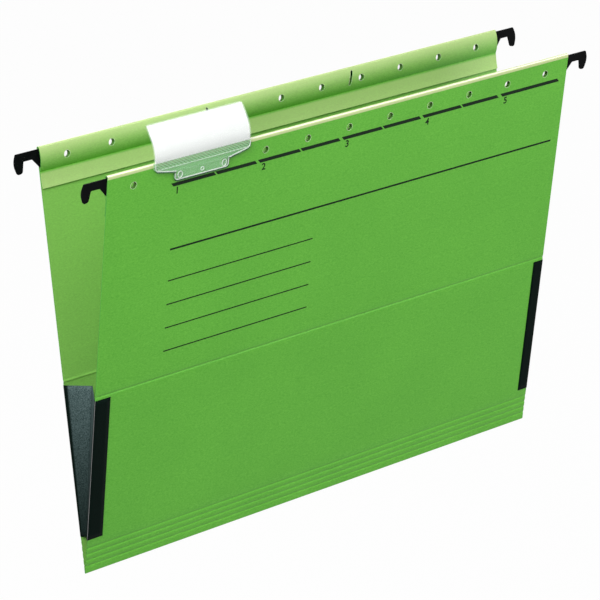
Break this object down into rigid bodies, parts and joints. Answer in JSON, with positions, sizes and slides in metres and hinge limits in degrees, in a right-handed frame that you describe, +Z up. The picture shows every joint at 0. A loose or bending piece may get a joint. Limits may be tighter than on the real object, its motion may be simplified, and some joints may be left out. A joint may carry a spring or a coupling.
{
  "type": "hanging file folder",
  "caption": "Open V-shaped card folder hung from hooked metal rails, with cloth side gussets and a clear index tab, for papers in a filing drawer.",
  "frame": {"origin": "midway between the four hook seats, at the height where they rest on the cabinet's rails", "axes": "+Z up, +X along the folder's own rails, the front leaf with the index tab faces -Y"},
  "size_m": [0.348, 0.0631, 0.2508],
  "materials": {
    "card": "matte",
    "rail": "satin",
    "cloth": "matte",
    "tab": "gloss",
    "label": "matte"
  },
  "bodies": {
    "back_upper": {"back_upper_panel": "card", "back_rail": "rail"},
    "back_lower": {"back_lower_panel": "card", "left_back_margin": "cloth", "right_back_margin": "cloth"},
    "front_lower": {"front_lower_panel": "card", "left_front_margin": "cloth", "right_front_margin": "cloth"},
    "front_upper": {"front_upper_panel": "card", "front_rail": "rail"},
    "tab": {"index_tab": "tab"},
    "label": {"tab_label": "label"},
    "left_front_gusset": {"left_front_web": "cloth"},
    "left_back_gusset": {"left_back_web": "cloth"},
    "right_front_gusset": {"right_front_web": "cloth"},
    "right_back_gusset": {"right_back_web": "cloth"}
  },
  "joints": [
    {"name": "back_crease", "type": "hinge", "parent": "back_upper", "child": "back_lower", "pos_m": [0, 0.0143, -0.11922], "axis": [1, 0, 0], "range_deg": [0, 90], "stiffness_Nm_per_rad": 0.2, "springref_deg": -3.93},
    {"name": "bottom_fold", "type": "hinge", "parent": "back_lower", "child": "front_lower", "pos_m": [0, 0, -0.22476], "axis": [1, 0, 0], "range_deg": [-12.8, 2], "stiffness_Nm_per_rad": 0.2, "springref_deg": -2.19},
    {"name": "front_crease", "type": "hinge", "parent": "front_lower", "child": "front_upper", "pos_m": [0, -0.0143, -0.11922], "axis": [1, 0, 0], "range_deg": [0, 90], "stiffness_Nm_per_rad": 0.2, "springref_deg": -0.88},
    {"name": "tab_unclip", "type": "slide", "parent": "front_upper", "child": "tab", "axis": [0, -0.9914, -0.1305], "range_m": [0, 0.008]},
    {"name": "label_slide", "type": "slide", "parent": "tab", "child": "label", "axis": [1, 0, 0], "range_m": [0, 0.062]},
    {"name": "left_front_gusset_fold", "type": "hinge", "parent": "front_lower", "child": "left_front_gusset", "pos_m": [-0.1585, 0.00014, -0.22474], "axis": [0, 0.1305, -0.9914], "range_deg": [-9, 56.52]},
    {"name": "left_back_gusset_fold", "type": "hinge", "parent": "back_lower", "child": "left_back_gusset", "pos_m": [-0.1585, -0.00014, -0.22474], "axis": [0, 0.1305, 0.9914], "range_deg": [-9, 56.52]},
    {"name": "right_front_gusset_fold", "type": "hinge", "parent": "front_lower", "child": "right_front_gusset", "pos_m": [0.1585, 0.00014, -0.22474], "axis": [0, -0.1305, 0.9914], "range_deg": [-9, 56.52]},
    {"name": "right_back_gusset_fold", "type": "hinge", "parent": "back_lower", "child": "right_back_gusset", "pos_m": [0.1585, -0.00014, -0.22474], "axis": [0, -0.1305, -0.9914], "range_deg": [-9, 56.52]}
  ],
  "couplings": [
    {"joint": "left_front_gusset_fold", "follows": "bottom_fold", "ratio": -4.4},
    {"joint": "left_back_gusset_fold", "follows": "bottom_fold", "ratio": -4.4},
    {"joint": "right_front_gusset_fold", "follows": "bottom_fold", "ratio": -4.4},
    {"joint": "right_back_gusset_fold", "follows": "bottom_fold", "ratio": -4.4}
  ]
}
